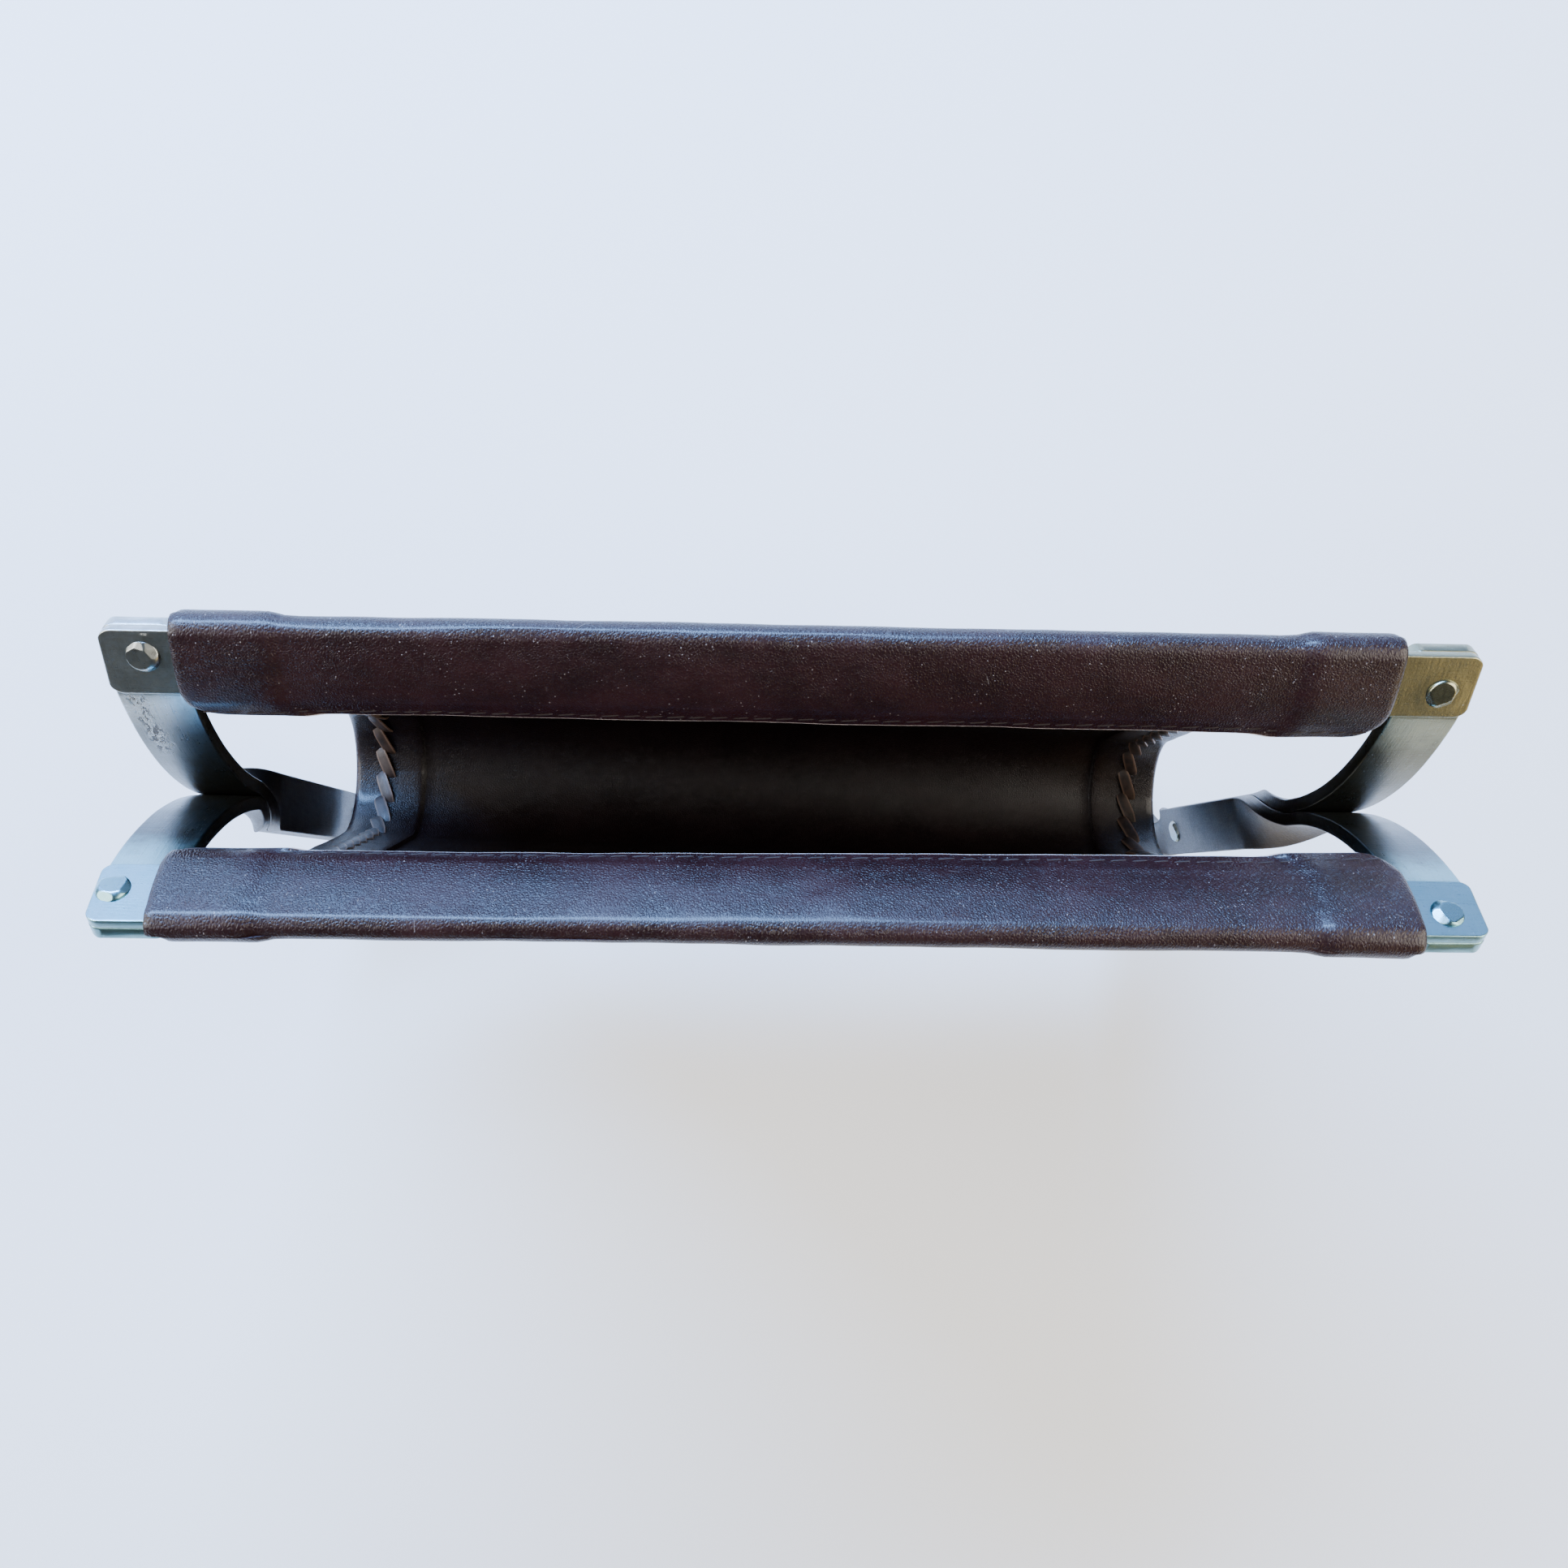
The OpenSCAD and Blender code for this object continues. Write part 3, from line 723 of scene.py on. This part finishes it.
sling = {
    "thick": 2.0 * mm,
    "gap": 0.3 * mm,
    "width": 334 * mm,
    "shift": -3.3 * mm,    # middle of the sheet to the right of the rack's middle
    "sleeveWidth": (332 * mm, 339.2 * mm),    # rear, front
    "sleeveShift": (-1.9 * mm, -1.6 * mm),
    "foldRadius": 26.5 * mm,
    "foldDrop": (191 * mm, 203 * mm),    # left, right
    "foldBack": (16 * mm, 11 * mm),
    "lip": ((3.9 * mm, 5.2 * mm), (3.3 * mm, 7.5 * mm)),    # flap past the rail: rear left, right; front
    "slack": ((1.0 * mm, 1.3 * mm), (-0.2 * mm, 0.9 * mm)),    # beyond the rails' outer edges, same order
    "lipCorner": 9 * mm,
    "lipRise": 2.75 * mm,    # how far the lip stands off the rail's back face
    "kneeRadius": 7 * mm,
    "creaseWidth": 1.6 * mm,
    "reach": (-177 * mm, 170 * mm),    # the paths are worked out between these
    "lipWave": 0.5 * mm,
    "hemWidth": 28 * mm,
    "hemThick": 1.8 * mm,
    "sleeveBump": 1.2 * mm,    # how far the hem under a sleeve's ends lifts it
    "wrapRadius": 3.4 * mm,
    "crown": 0.8 * mm,    # how far a sleeve bulges off its rail
    "ease": 0.3 * mm,    # slack of the leather at the rails' edges
    "nip": ((1.2 * mm, 1.2 * mm), (4.5 * mm, 2.4 * mm)),    # ends drawn in behind: rear left, right; front
    "hangRadius": 3.0 * mm,
    "ripple": 0.22 * mm,
}
# short creases in the sleeves: front or rear, x, distance down the plate, length, turn, height
creases = [
    (1, 3 * mm, 11 * mm, 15 * mm, 38, -0.55 * mm),
    (1, 8 * mm, 8 * mm, 10 * mm, 55, 0.45 * mm),
    (1, 138 * mm, 12 * mm, 12 * mm, -70, 0.6 * mm),
    (0, -36 * mm, 3 * mm, 11 * mm, 20, 0.4 * mm),
    (0, 4 * mm, 9 * mm, 20 * mm, -32, -0.35 * mm),
    (0, 130 * mm, 2 * mm, 12 * mm, -60, 0.6 * mm),
    (0, -145 * mm, 9 * mm, 14 * mm, 12, -0.3 * mm),
]


def fillet(before, corner, after, radius, count):
    a, b = (before - corner).normalized(), (after - corner).normalized()
    half = a.angle(b) / 2
    reach = radius / math.tan(half)
    centre = corner + (a + b).normalized() * (radius / math.sin(half))
    first, last = corner + a * reach - centre, corner + b * reach - centre
    swing = first.angle_signed(last)
    found = []
    for i in range(count + 1):
        turn = swing * i / count
        c, s = math.cos(turn), math.sin(turn)
        found.append(centre + Vector((first.x * c + first.y * s, first.y * c - first.x * s)))
    return found


def plateToSide(x, y):
    return plateTop - x * downPlate - y * outPlate


def line(a, b, count):
    return [a.lerp(b, i / count) for i in range(1, count + 1)]


def onFold(angle):
    return sling["foldRadius"] * Vector((math.cos(angle), math.sin(angle)))


# Angle at which a straight wall from the point meets the fold.
def touchAngle(centre, point):
    away = point - centre
    return math.atan2(away.y, away.x) - math.acos(sling["foldRadius"] / away.length)


def lipAt(front, x):
    return lerp(*sling["lip"][front], (x - sling["shift"]) / sling["width"] + 0.5)


foldCount = 44


# Middle of the sheet at x, as points (distance from the middle, height), from rear lip to front lip.
def slingPath(x):
    u = (x - sling["shift"]) / sling["width"] + 0.5
    centre = Vector((lerp(*sling["foldBack"], u), topZ - lerp(*sling["foldDrop"], u)))
    face = iron["railThick"] + sling["gap"] + sling["thick"] / 2
    low = -iron["barWidth"] - sling["gap"]
    halves = []
    for k, sign in enumerate((1, -1)):
        over = sling["gap"] + sling["thick"] / 2 + lerp(*sling["slack"][k], u)
        crown = plateToSide(over + sling["ease"], face + sling["ease"])
        hang = crown + outPlate * ((plateTop.x + over - crown.x) / outPlate.x)
        wave = sling["lipWave"] * noise.noise(Vector((x * 28, 7.1 * k, 0)))
        wave += 0.4 * sling["lipWave"] * noise.noise(Vector((x * 110, 3.3 + 7.1 * k, 0)))
        tip = plateToSide(low - lipAt(k, x) - wave, sling["lipRise"])
        knee = plateToSide(low, face)
        mirrored = Vector((centre.x * sign, centre.y))
        foot = mirrored + onFold(touchAngle(mirrored, hang))
        turnKnee = fillet(tip, knee, crown, sling["kneeRadius"], 5)
        turnCrown = fillet(knee, crown, hang, sling["wrapRadius"], 8)
        turnHang = fillet(crown, hang, foot, sling["hangRadius"], 6)
        points = [tip] + [tip.lerp(turnKnee[0], t) for t in (0.08, 0.22, 0.45, 0.75)] + turnKnee
        points += line(turnKnee[-1], turnCrown[0], 14)[:-1] + turnCrown
        points += line(turnCrown[-1], turnHang[0], 4)[:-1] + turnHang
        points += line(turnHang[-1], foot, 40)
        halves.append(([Vector((p.x * sign, p.y)) for p in points], foot))
    rearFoot = halves[0][1] - centre
    frontFoot = Vector((-halves[1][1].x, halves[1][1].y)) - centre
    start = math.atan2(rearFoot.y, rearFoot.x)
    end = math.atan2(frontFoot.y, frontFoot.x)
    if end > start:
        end -= 2 * math.pi
    fold = [centre + onFold(lerp(start, end, i / foldCount)) for i in range(1, foldCount)]
    return halves[0][0] + fold + halves[1][0][::-1]


sleeveRows = 5 + 6 + 13 + 9 + 3 + 7    # lip, knee, face, crown, edge and top of the wall, as in slingPath
plateRows = 5 + 6 + 13 + 5    # of those, the rows over the rail's face


def rowRole(row, rows):
    front = row >= rows / 2
    inside = rows - 1 - row if front else row    # rows in from the nearer lip
    return front, inside


def relief(x, front, down, inside):
    height = sling["ripple"] * 2 * noise.noise(Vector((x * 22, down * 40, 5.0 + 9 * front)))
    height += sling["ripple"] * 0.8 * noise.noise(Vector((x * 70, down * 90, 15.0 + 9 * front)))
    if inside < sleeveRows:
        height += sling["crown"] * max(1 - (2 * down / iron["barWidth"] - 1) ** 2, 0.0)
        for where, cx, cy, length, turn, lift in creases:
            if where != front:
                continue
            dx, dy = x - cx, down - cy
            along = dx * cosD(turn) + dy * sinD(turn)
            across = dy * cosD(turn) - dx * sinD(turn)
            height += lift * math.exp(-(along / length * 2) ** 2 - (across / sling["creaseWidth"]) ** 2)
    return height


# Ends of the sheet at a row: left x and right x, rounded at the sleeves' lips.
def rowEnds(front, inside, fromLip):
    blend = smooth(sleeveRows + 8, sleeveRows - 4, inside)
    nipped = smooth(plateRows + 3, sleeveRows - 4, inside) * smooth(sleeveRows + 16, sleeveRows, inside)
    ends = []
    for sign, nip in zip((-1, 1), sling["nip"][front]):
        panel = sling["shift"] + sign * sling["width"] / 2
        sleeve = sling["sleeveShift"][front] + sign * sling["sleeveWidth"][front] / 2
        end = lerp(panel, sleeve, blend) - sign * nip * nipped
        r = sling["lipCorner"]
        if fromLip < r:
            end -= sign * (r - math.sqrt(max(r * r - (r - fromLip) ** 2, 0)))
        ends.append(end)
    return ends


pathSamples = [lerp(*sling["reach"], k / 40) for k in range(41)]
sampledPaths = [slingPath(x) for x in pathSamples]
slingRows = len(sampledPaths[0])


def middleAt(x, row):
    t = (x - pathSamples[0]) / (pathSamples[-1] - pathSamples[0]) * (len(pathSamples) - 1)
    k = min(max(int(t), 0), len(pathSamples) - 2)
    return sampledPaths[k][row].lerp(sampledPaths[k + 1][row], t - k)


# Middle of the sheet at a row, and the direction into the pocket.
def slingFrame(x, row):
    tangent = (middleAt(x, min(row + 1, slingRows - 1)) - middleAt(x, max(row - 1, 0))).normalized()
    return middleAt(x, row), Vector((tangent.y, -tangent.x))


runs = [0.0]
for row in range(1, slingRows):
    runs.append(runs[-1] + (middleAt(sling["shift"], row) - middleAt(sling["shift"], row - 1)).length)
cutLength = runs[-1]


# Point of the sheet at a depth from its middle; positive depths are inside the pocket.
def slingPoint(x, row, depth):
    front, inside = rowRole(row, slingRows)
    fromLip = min(runs[row], cutLength - runs[row])
    left, right = rowEnds(front, inside, fromLip)
    onSleeve = smooth(sleeveRows + 3, sleeveRows - 3, inside)
    here, inner = slingFrame(x, row)
    down = iron["barWidth"] + lipAt(front, x) - fromLip if inside < plateRows else 0.0
    lift = relief(x, front, down if inside < plateRows else fromLip, inside)
    if depth < 0:
        lift += sling["sleeveBump"] * onSleeve * smooth(30 * mm, 23 * mm, min(x - left, right - x))
    else:
        depth = max(depth, sling["thick"] / 2)
    place = here - inner * (lift - depth)
    return Vector((x, place.x, place.y)), Vector((0, inner.x, inner.y))


# Depth of the pocket's surface: the hem lies on the sheet along both sides.
def hemDepth(reach, inside):
    onSleeve = smooth(sleeveRows + 3, sleeveRows - 3, inside)
    step = smooth(sling["hemWidth"] + 0.2 * mm, sling["hemWidth"] - 1.0 * mm, reach)
    return sling["thick"] / 2 + (sling["hemThick"] + 0.05 * mm) * step * (1 - onSleeve)


def slingMesh():
    edges = [v * mm for v in (2.2, 4, 6.5, 9, 11.5, 14, 16.5, 19, 21.5, 24, 26, 27.3, 28.0, 28.25)]
    middle, foldSteps = 66, 6
    half = sling["thick"] / 2
    verts, uvs, cutMarks, pocketMarks = [], [], [], []

    def addVert(x, row, depth, mark):
        verts.append(slingPoint(x, row, depth)[0])
        uvs.append((x, runs[row]))
        cutMarks.append(mark)
        pocketMarks.append(0.0)

    def addFold(edge, sign, row, first, last):
        for i in range(1, foldSteps):
            a = math.pi * i / foldSteps
            x = edge + sign * edges[0] * (1 - math.sin(a))
            addVert(x, row, lerp(first, last, (1 - math.cos(a)) / 2), 0.0)

    for row in range(slingRows):
        front, inside = rowRole(row, slingRows)
        left, right = rowEnds(front, inside, min(runs[row], cutLength - runs[row]))
        columns = [left + e for e in edges]
        columns += [lerp(left + edges[-1], right - edges[-1], i / middle) for i in range(1, middle)]
        columns += [right - e for e in reversed(edges)]
        cut = 1.0 if row in (0, slingRows - 1) else 0.0
        foldDeep = hemDepth(0, inside)
        for x in columns:
            addVert(x, row, -half, cut)
        addFold(right, -1, row, -half, foldDeep)
        for x in reversed(columns):
            addVert(x, row, hemDepth(min(x - left, right - x), inside), cut)
            pocketMarks[-1] = 1.0
        addFold(left, 1, row, foldDeep, -half)
    marks = {"cut": cutMarks, "pocket": pocketMarks}
    return ringMesh("sling", verts, uvs, marks, len(columns), foldSteps - 1, slingRows)


# Closed sheet from rings: an outer chain, a fold, an inner chain back, a fold.
def ringMesh(name, verts, uvs, marks, count, folds, rows):
    ring = 2 * (count + folds)
    faces = [(base + k, base + (k + 1) % ring, base + ring + (k + 1) % ring, base + ring + k)
             for base in range(0, (rows - 1) * ring, ring) for k in range(ring)]
    for base in (0, (rows - 1) * ring):
        back = 2 * count + folds - 1    # inner vertex under the first outer one
        faces += [(base + i, base + i + 1, base + back - i - 1, base + back - i) for i in range(count - 1)]
        if folds:
            faces.append(tuple(base + k for k in range(count - 1, count + folds + 1)))
            faces.append(tuple(base + k % ring for k in range(back, back + folds + 2)))
    mesh = bpy.data.meshes.new(name)
    mesh.from_pydata(verts, [], faces)
    layer = mesh.uv_layers.new(name="hide")
    for loop in mesh.loops:
        layer.data[loop.index].uv = uvs[loop.vertex_index]
    for label, values in marks.items():
        mesh.attributes.new(label, "FLOAT", "POINT").data.foreach_set("value", values)
    mesh.materials.append(oxbloodHide)
    mesh.shade_smooth()
    return outwards(mesh)


slingPiece = addPiece("sling", slingMesh(),
                      ["sling_panel", "sleeve_rear", "sleeve_front", "hem_left", "hem_right"], 50)
print("sling hung, cut length", round(cutLength, 4))


liningShape = {
    "halfWidth": 166.8 * mm,
    "thick": 2.0 * mm,
    "top": 4.6 * mm,    # below the rail's top edge
    "short": 5.5 * mm,    # how far it ends inside the sleeve's ends
    "proud": (-0.6 * mm, 1.5 * mm),    # how far it shows past the sleeve's lip, rear and front
    "fray": (0.35 * mm, 0.18 * mm),
    "cutWidth": 25.5 * mm,
    "columns": 120,
}


# Strip behind each rail that closes its sleeve, sewn on at the lip with its flesh side up.
def liningMesh(front):
    look = liningShape
    low = -iron["barWidth"] - sling["gap"]
    behind = -sling["gap"] - look["thick"] / 2
    verts, uvs, cutMarks = [], [], []
    turn = turned(front)
    shift = sling["sleeveShift"][front] * (1 - 2 * front)
    inner = sling["sleeveWidth"][front] / 2 - look["short"]
    ends = [sign * min(look["halfWidth"], inner + sign * shift) for sign in (-1, 1)]
    rows = 0
    for down in (0.0, 0.06, 0.16, 0.3, 0.5, 0.75, 1.0, 1.3, 2.0, 3.0, 4.0, 5.0):
        rows += 1
        for depth in (look["thick"] / 2, -look["thick"] / 2):
            chain = [lerp(-1, 1, k / look["columns"]) for k in range(look["columns"] + 1)]
            for x in chain if depth > 0 else reversed(chain):
                x = lerp(*ends, (x + 1) / 2)
                proud = look["proud"][front] + look["fray"][0] * noise.noise(Vector((x * 60, 2.2, front)))
                proud += look["fray"][1] * noise.noise(Vector((x * 240, 8.2, front)))
                tip = Vector((low - lipAt(front, -x if front else x) - proud, 0.1 * mm))
                knee = Vector((low, behind))
                top = Vector((-look["top"], behind))
                at = tip.lerp(knee, min(down, 1.0)).lerp(top, max(down - 1.0, 0) / 4)
                place = plateToSide(at.x, at.y + depth)
                verts.append(turn @ Vector((x, place.x, place.y)))
                uvs.append((x, down * 5 * mm))
                cutMarks.append(1.0 if down < 1.0 and depth > 0 or down == 0 else 0.0)
    return ringMesh("lining", verts, uvs, {"cut": cutMarks}, look["columns"] + 1, 0, rows)


linings = [addPiece("sleeve_lining." + label, liningMesh(front), [], 50)
           for front, label in enumerate(("rear", "front"))]
print("sleeves lined")


# Stitches along a path: bowed flat strips, slanted and rolled against the path.
def stitchTree():
    start, entry = geometryTree("stitches along a path", {
        "Pitch": ("Float", 10 * mm), "Length": ("Float", 12 * mm), "Width": ("Float", 4 * mm),
        "Thickness": ("Float", 1 * mm), "Bow": ("Float", 1 * mm), "Slant": ("Float", 0.5),
        "Roll": ("Float", 0.2), "Pinch": ("Float", 0.3), "Unevenness": ("Float", 0.05), "Seed": ("Int", 0),
        "Material": ("Material", None)})
    size = start.gather({0: entry["Length"], 1: entry["Width"], 2: entry["Thickness"]})
    strip = start.node("GeometryNodeMeshCube", {},
                       {"Size": size, "Vertices X": 10, "Vertices Y": 5, "Vertices Z": 3})
    x, y, z = [start.node("GeometryNodeInputPosition").axis(k) for k in range(3)]
    u = x / entry["Length"] * 2
    v = y / entry["Width"] * 2
    strip = start.node("GeometryNodeStoreNamedAttribute", {"data_type": "FLOAT", "domain": "POINT"},
                       {"Geometry": strip, "Name": "rim", "Value": v.maths("ABSOLUTE", v)})
    bowed = (1 - u * u * u * u) * entry["Bow"] + z * (1 - v * v * 0.45)
    narrow = y * (1 - u * u * u * u * entry["Pinch"])
    place = start.gather({0: x, 1: narrow, 2: bowed})
    strip = start.node("GeometryNodeSetPosition", {}, {"Geometry": strip, "Position": place})
    turn = start.gather({0: entry["Roll"], 2: entry["Slant"]})
    strip = start.node("GeometryNodeTransform", {}, {"Geometry": strip, "Rotation": turn})
    path = start.node("GeometryNodeMeshToCurve", {}, {"Mesh": entry["Geometry"]})
    path = start.node("GeometryNodeResampleCurve", {"mode": "LENGTH"},
                      {"Curve": path, "Length": entry["Pitch"]})
    along = start.node("GeometryNodeInputTangent")
    up = start.node("GeometryNodeInputNamedAttribute", {"data_type": "FLOAT_VECTOR"}, {"Name": "up"})
    turn = start.node("FunctionNodeAxesToRotation", {"primary_axis": "Z", "secondary_axis": "X"},
                      {"Primary Axis": up, "Secondary Axis": along})
    vary = start.node("FunctionNodeRandomValue", {"data_type": "FLOAT"},
                      {2: 1 - entry["Unevenness"], 3: 1 + entry["Unevenness"], "Seed": entry["Seed"]}, 1)
    placed = start.node("GeometryNodeInstanceOnPoints", {}, {
        "Points": path, "Instance": strip, "Rotation": turn,
        "Scale": start.gather({0: vary, 1: vary, 2: vary})})
    return closeTree(start, placed)


lacing = {
    "inset": 12.5 * mm,
    "rowsShort": 12,    # how many rows of the sheet it ends below the front sleeve
    "pitch": 10.2 * mm,
    "length": 14.5 * mm,
    "width": 4.6 * mm,
    "thickness": 1.1 * mm,
    "bow": 1.25 * mm,
    "slant": 21,
    "roll": 13,
    "pinch": 0.4,
    "unevenness": 0.05,
}
stitches = stitchTree()


# Stitches of one look along a path, as one piece.
def sew(name, look, material, places, ups, seed):
    values = {label.capitalize(): look[label]
              for label in ("pitch", "length", "width", "thickness", "bow", "pinch", "unevenness")}
    values.update({"Slant": math.radians(look["slant"]), "Roll": math.radians(look["roll"]), "Seed": seed,
                   "Material": material})
    mesh = runTree(name, stitches, pathMesh(name, places, up=ups), values)
    addPiece(name, outwards(mesh), [name.replace(".", "_")], 60)


for side, label in enumerate(("left", "right")):
    sign = 2 * side - 1
    places, ups = [], []
    for row in range(sleeveRows + 1, slingRows - sleeveRows - lacing["rowsShort"]):
        x = sling["shift"] + sign * (sling["width"] / 2 - lacing["inset"])
        place, inner = slingPoint(x, row, hemDepth(lacing["inset"], sleeveRows + 9) + 0.05 * mm)
        places.append(place)
        ups.append(inner)
    sew("lacing." + label, lacing, laceThong, places, ups, 3 + side)

seam = {
    "row": 3,    # rows in from the lip
    "ends": 7 * mm,
    "pitch": 6 * mm,
    "length": 4.4 * mm,
    "width": 0.5 * mm,
    "thickness": 0.35 * mm,
    "bow": 0.12 * mm,
    "slant": 7,
    "roll": 0,
    "pinch": 0.5,
    "unevenness": 0.08,
    "sunk": 0.1 * mm,
    "samples": 160,
}
for front, label in enumerate(("rear", "front")):
    row = slingRows - 1 - seam["row"] if front else seam["row"]
    middle, half = sling["sleeveShift"][front], sling["sleeveWidth"][front] / 2 - seam["ends"]
    places, ups = [], []
    for k in range(seam["samples"] + 1):
        x = lerp(middle - half, middle + half, k / seam["samples"])
        place, inner = slingPoint(x, row, -sling["thick"] / 2)
        places.append(place + inner * seam["sunk"])
        ups.append(-inner)
    sew("seam_thread." + label, seam, waxedThread, places, ups, 9 + front)
print("lacing and seams sewn")


stage = {
    "camera": (-24.3 * mm, -27.6 * mm, 740.8 * mm),
    "cameraTurns": (("Y", -2.70), ("X", 3.99), ("Z", 0.72)),    # degrees, the last one first
    "lens": 34.54,
    "sensor": 36,
    "floorSize": 4.0,
    "floorDrop": 0.2 * mm,    # so that the feet don't flicker with it
    "lightsAim": (0, 0, 0.3),
    "sky": colour(0.86, 0.93, 1.0),
    "skyStrength": 0.10,
}
cameraData = bpy.data.cameras.new("camera")
cameraData.lens = stage["lens"]
cameraData.sensor_width = stage["sensor"]
camera = toScene("camera", cameraData)
cameraPlace = Matrix.Translation(stage["camera"])
for letter, degrees in stage["cameraTurns"]:
    cameraPlace = cameraPlace @ Matrix.Rotation(math.radians(degrees), 4, letter)
camera.matrix_world = cameraPlace
bpy.context.scene.camera = camera

floorMaterial, floorStart = newMaterial("pale floor")
floorTone = floorStart.objectPlace().cloud(0.4, 2.0).tint(colour(0.86, 0.87, 0.88), colour(0.90, 0.90, 0.90))
surface(floorStart, {"Base Color": floorTone, "Roughness": 0.7, "Specular IOR Level": 0.2})
floorMesh = bpy.data.meshes.new("floor")
floorCorners = [(x * stage["floorSize"], y * stage["floorSize"], 0)
                for x, y in ((-1, -1), (1, -1), (1, 1), (-1, 1))]
floorMesh.from_pydata(floorCorners, [], [(0, 1, 2, 3)])
floorMesh.materials.append(floorMaterial)
floor = toScene("floor", floorMesh)
floor.location.z = -stage["floorDrop"]

lights = [
    # name, place, size, power, colour
    ("rear low window", (-0.9, 2.0, 0.6), (3.2, 0.9), 50, (0.36, 0.52, 1.0)),
    ("rear right window", (1.3, 2.0, 0.6), (1.1, 0.9), 7, (0.38, 0.54, 1.0)),
    ("rear high window", (-0.55, 1.25, 1.45), (1.8, 0.34), 180, (0.26, 0.50, 1.0)),
    ("left softbox", (-1.8, 0.1, 1.7), (2.0, 1.8), 84, (1.0, 0.97, 0.93)),
    ("right softbox", (1.8, -0.1, 1.7), (2.0, 1.8), 90, (1.0, 0.92, 0.80)),
    ("warm card", (1.5, -1.3, 0.75), (0.8, 0.8), 6, (1.0, 0.70, 0.30)),
]
for name, place, size, power, tone in lights:
    data = bpy.data.lights.new(name, "AREA")
    data.shape = "RECTANGLE"
    data.size, data.size_y = size
    data.energy = power
    data.color = tone
    lamp = toScene(name, data)
    lamp.location = place
    aim = Vector(stage["lightsAim"]) - Vector(place)
    lamp.rotation_euler = aim.to_track_quat("-Z", "Y").to_euler()
world = bpy.data.worlds.new("studio")
bpy.context.scene.world = world
world.use_nodes = True
background = world.node_tree.nodes["Background"]
background.inputs["Color"].default_value = stage["sky"]
background.inputs["Strength"].default_value = stage["skyStrength"]
print("stage set")
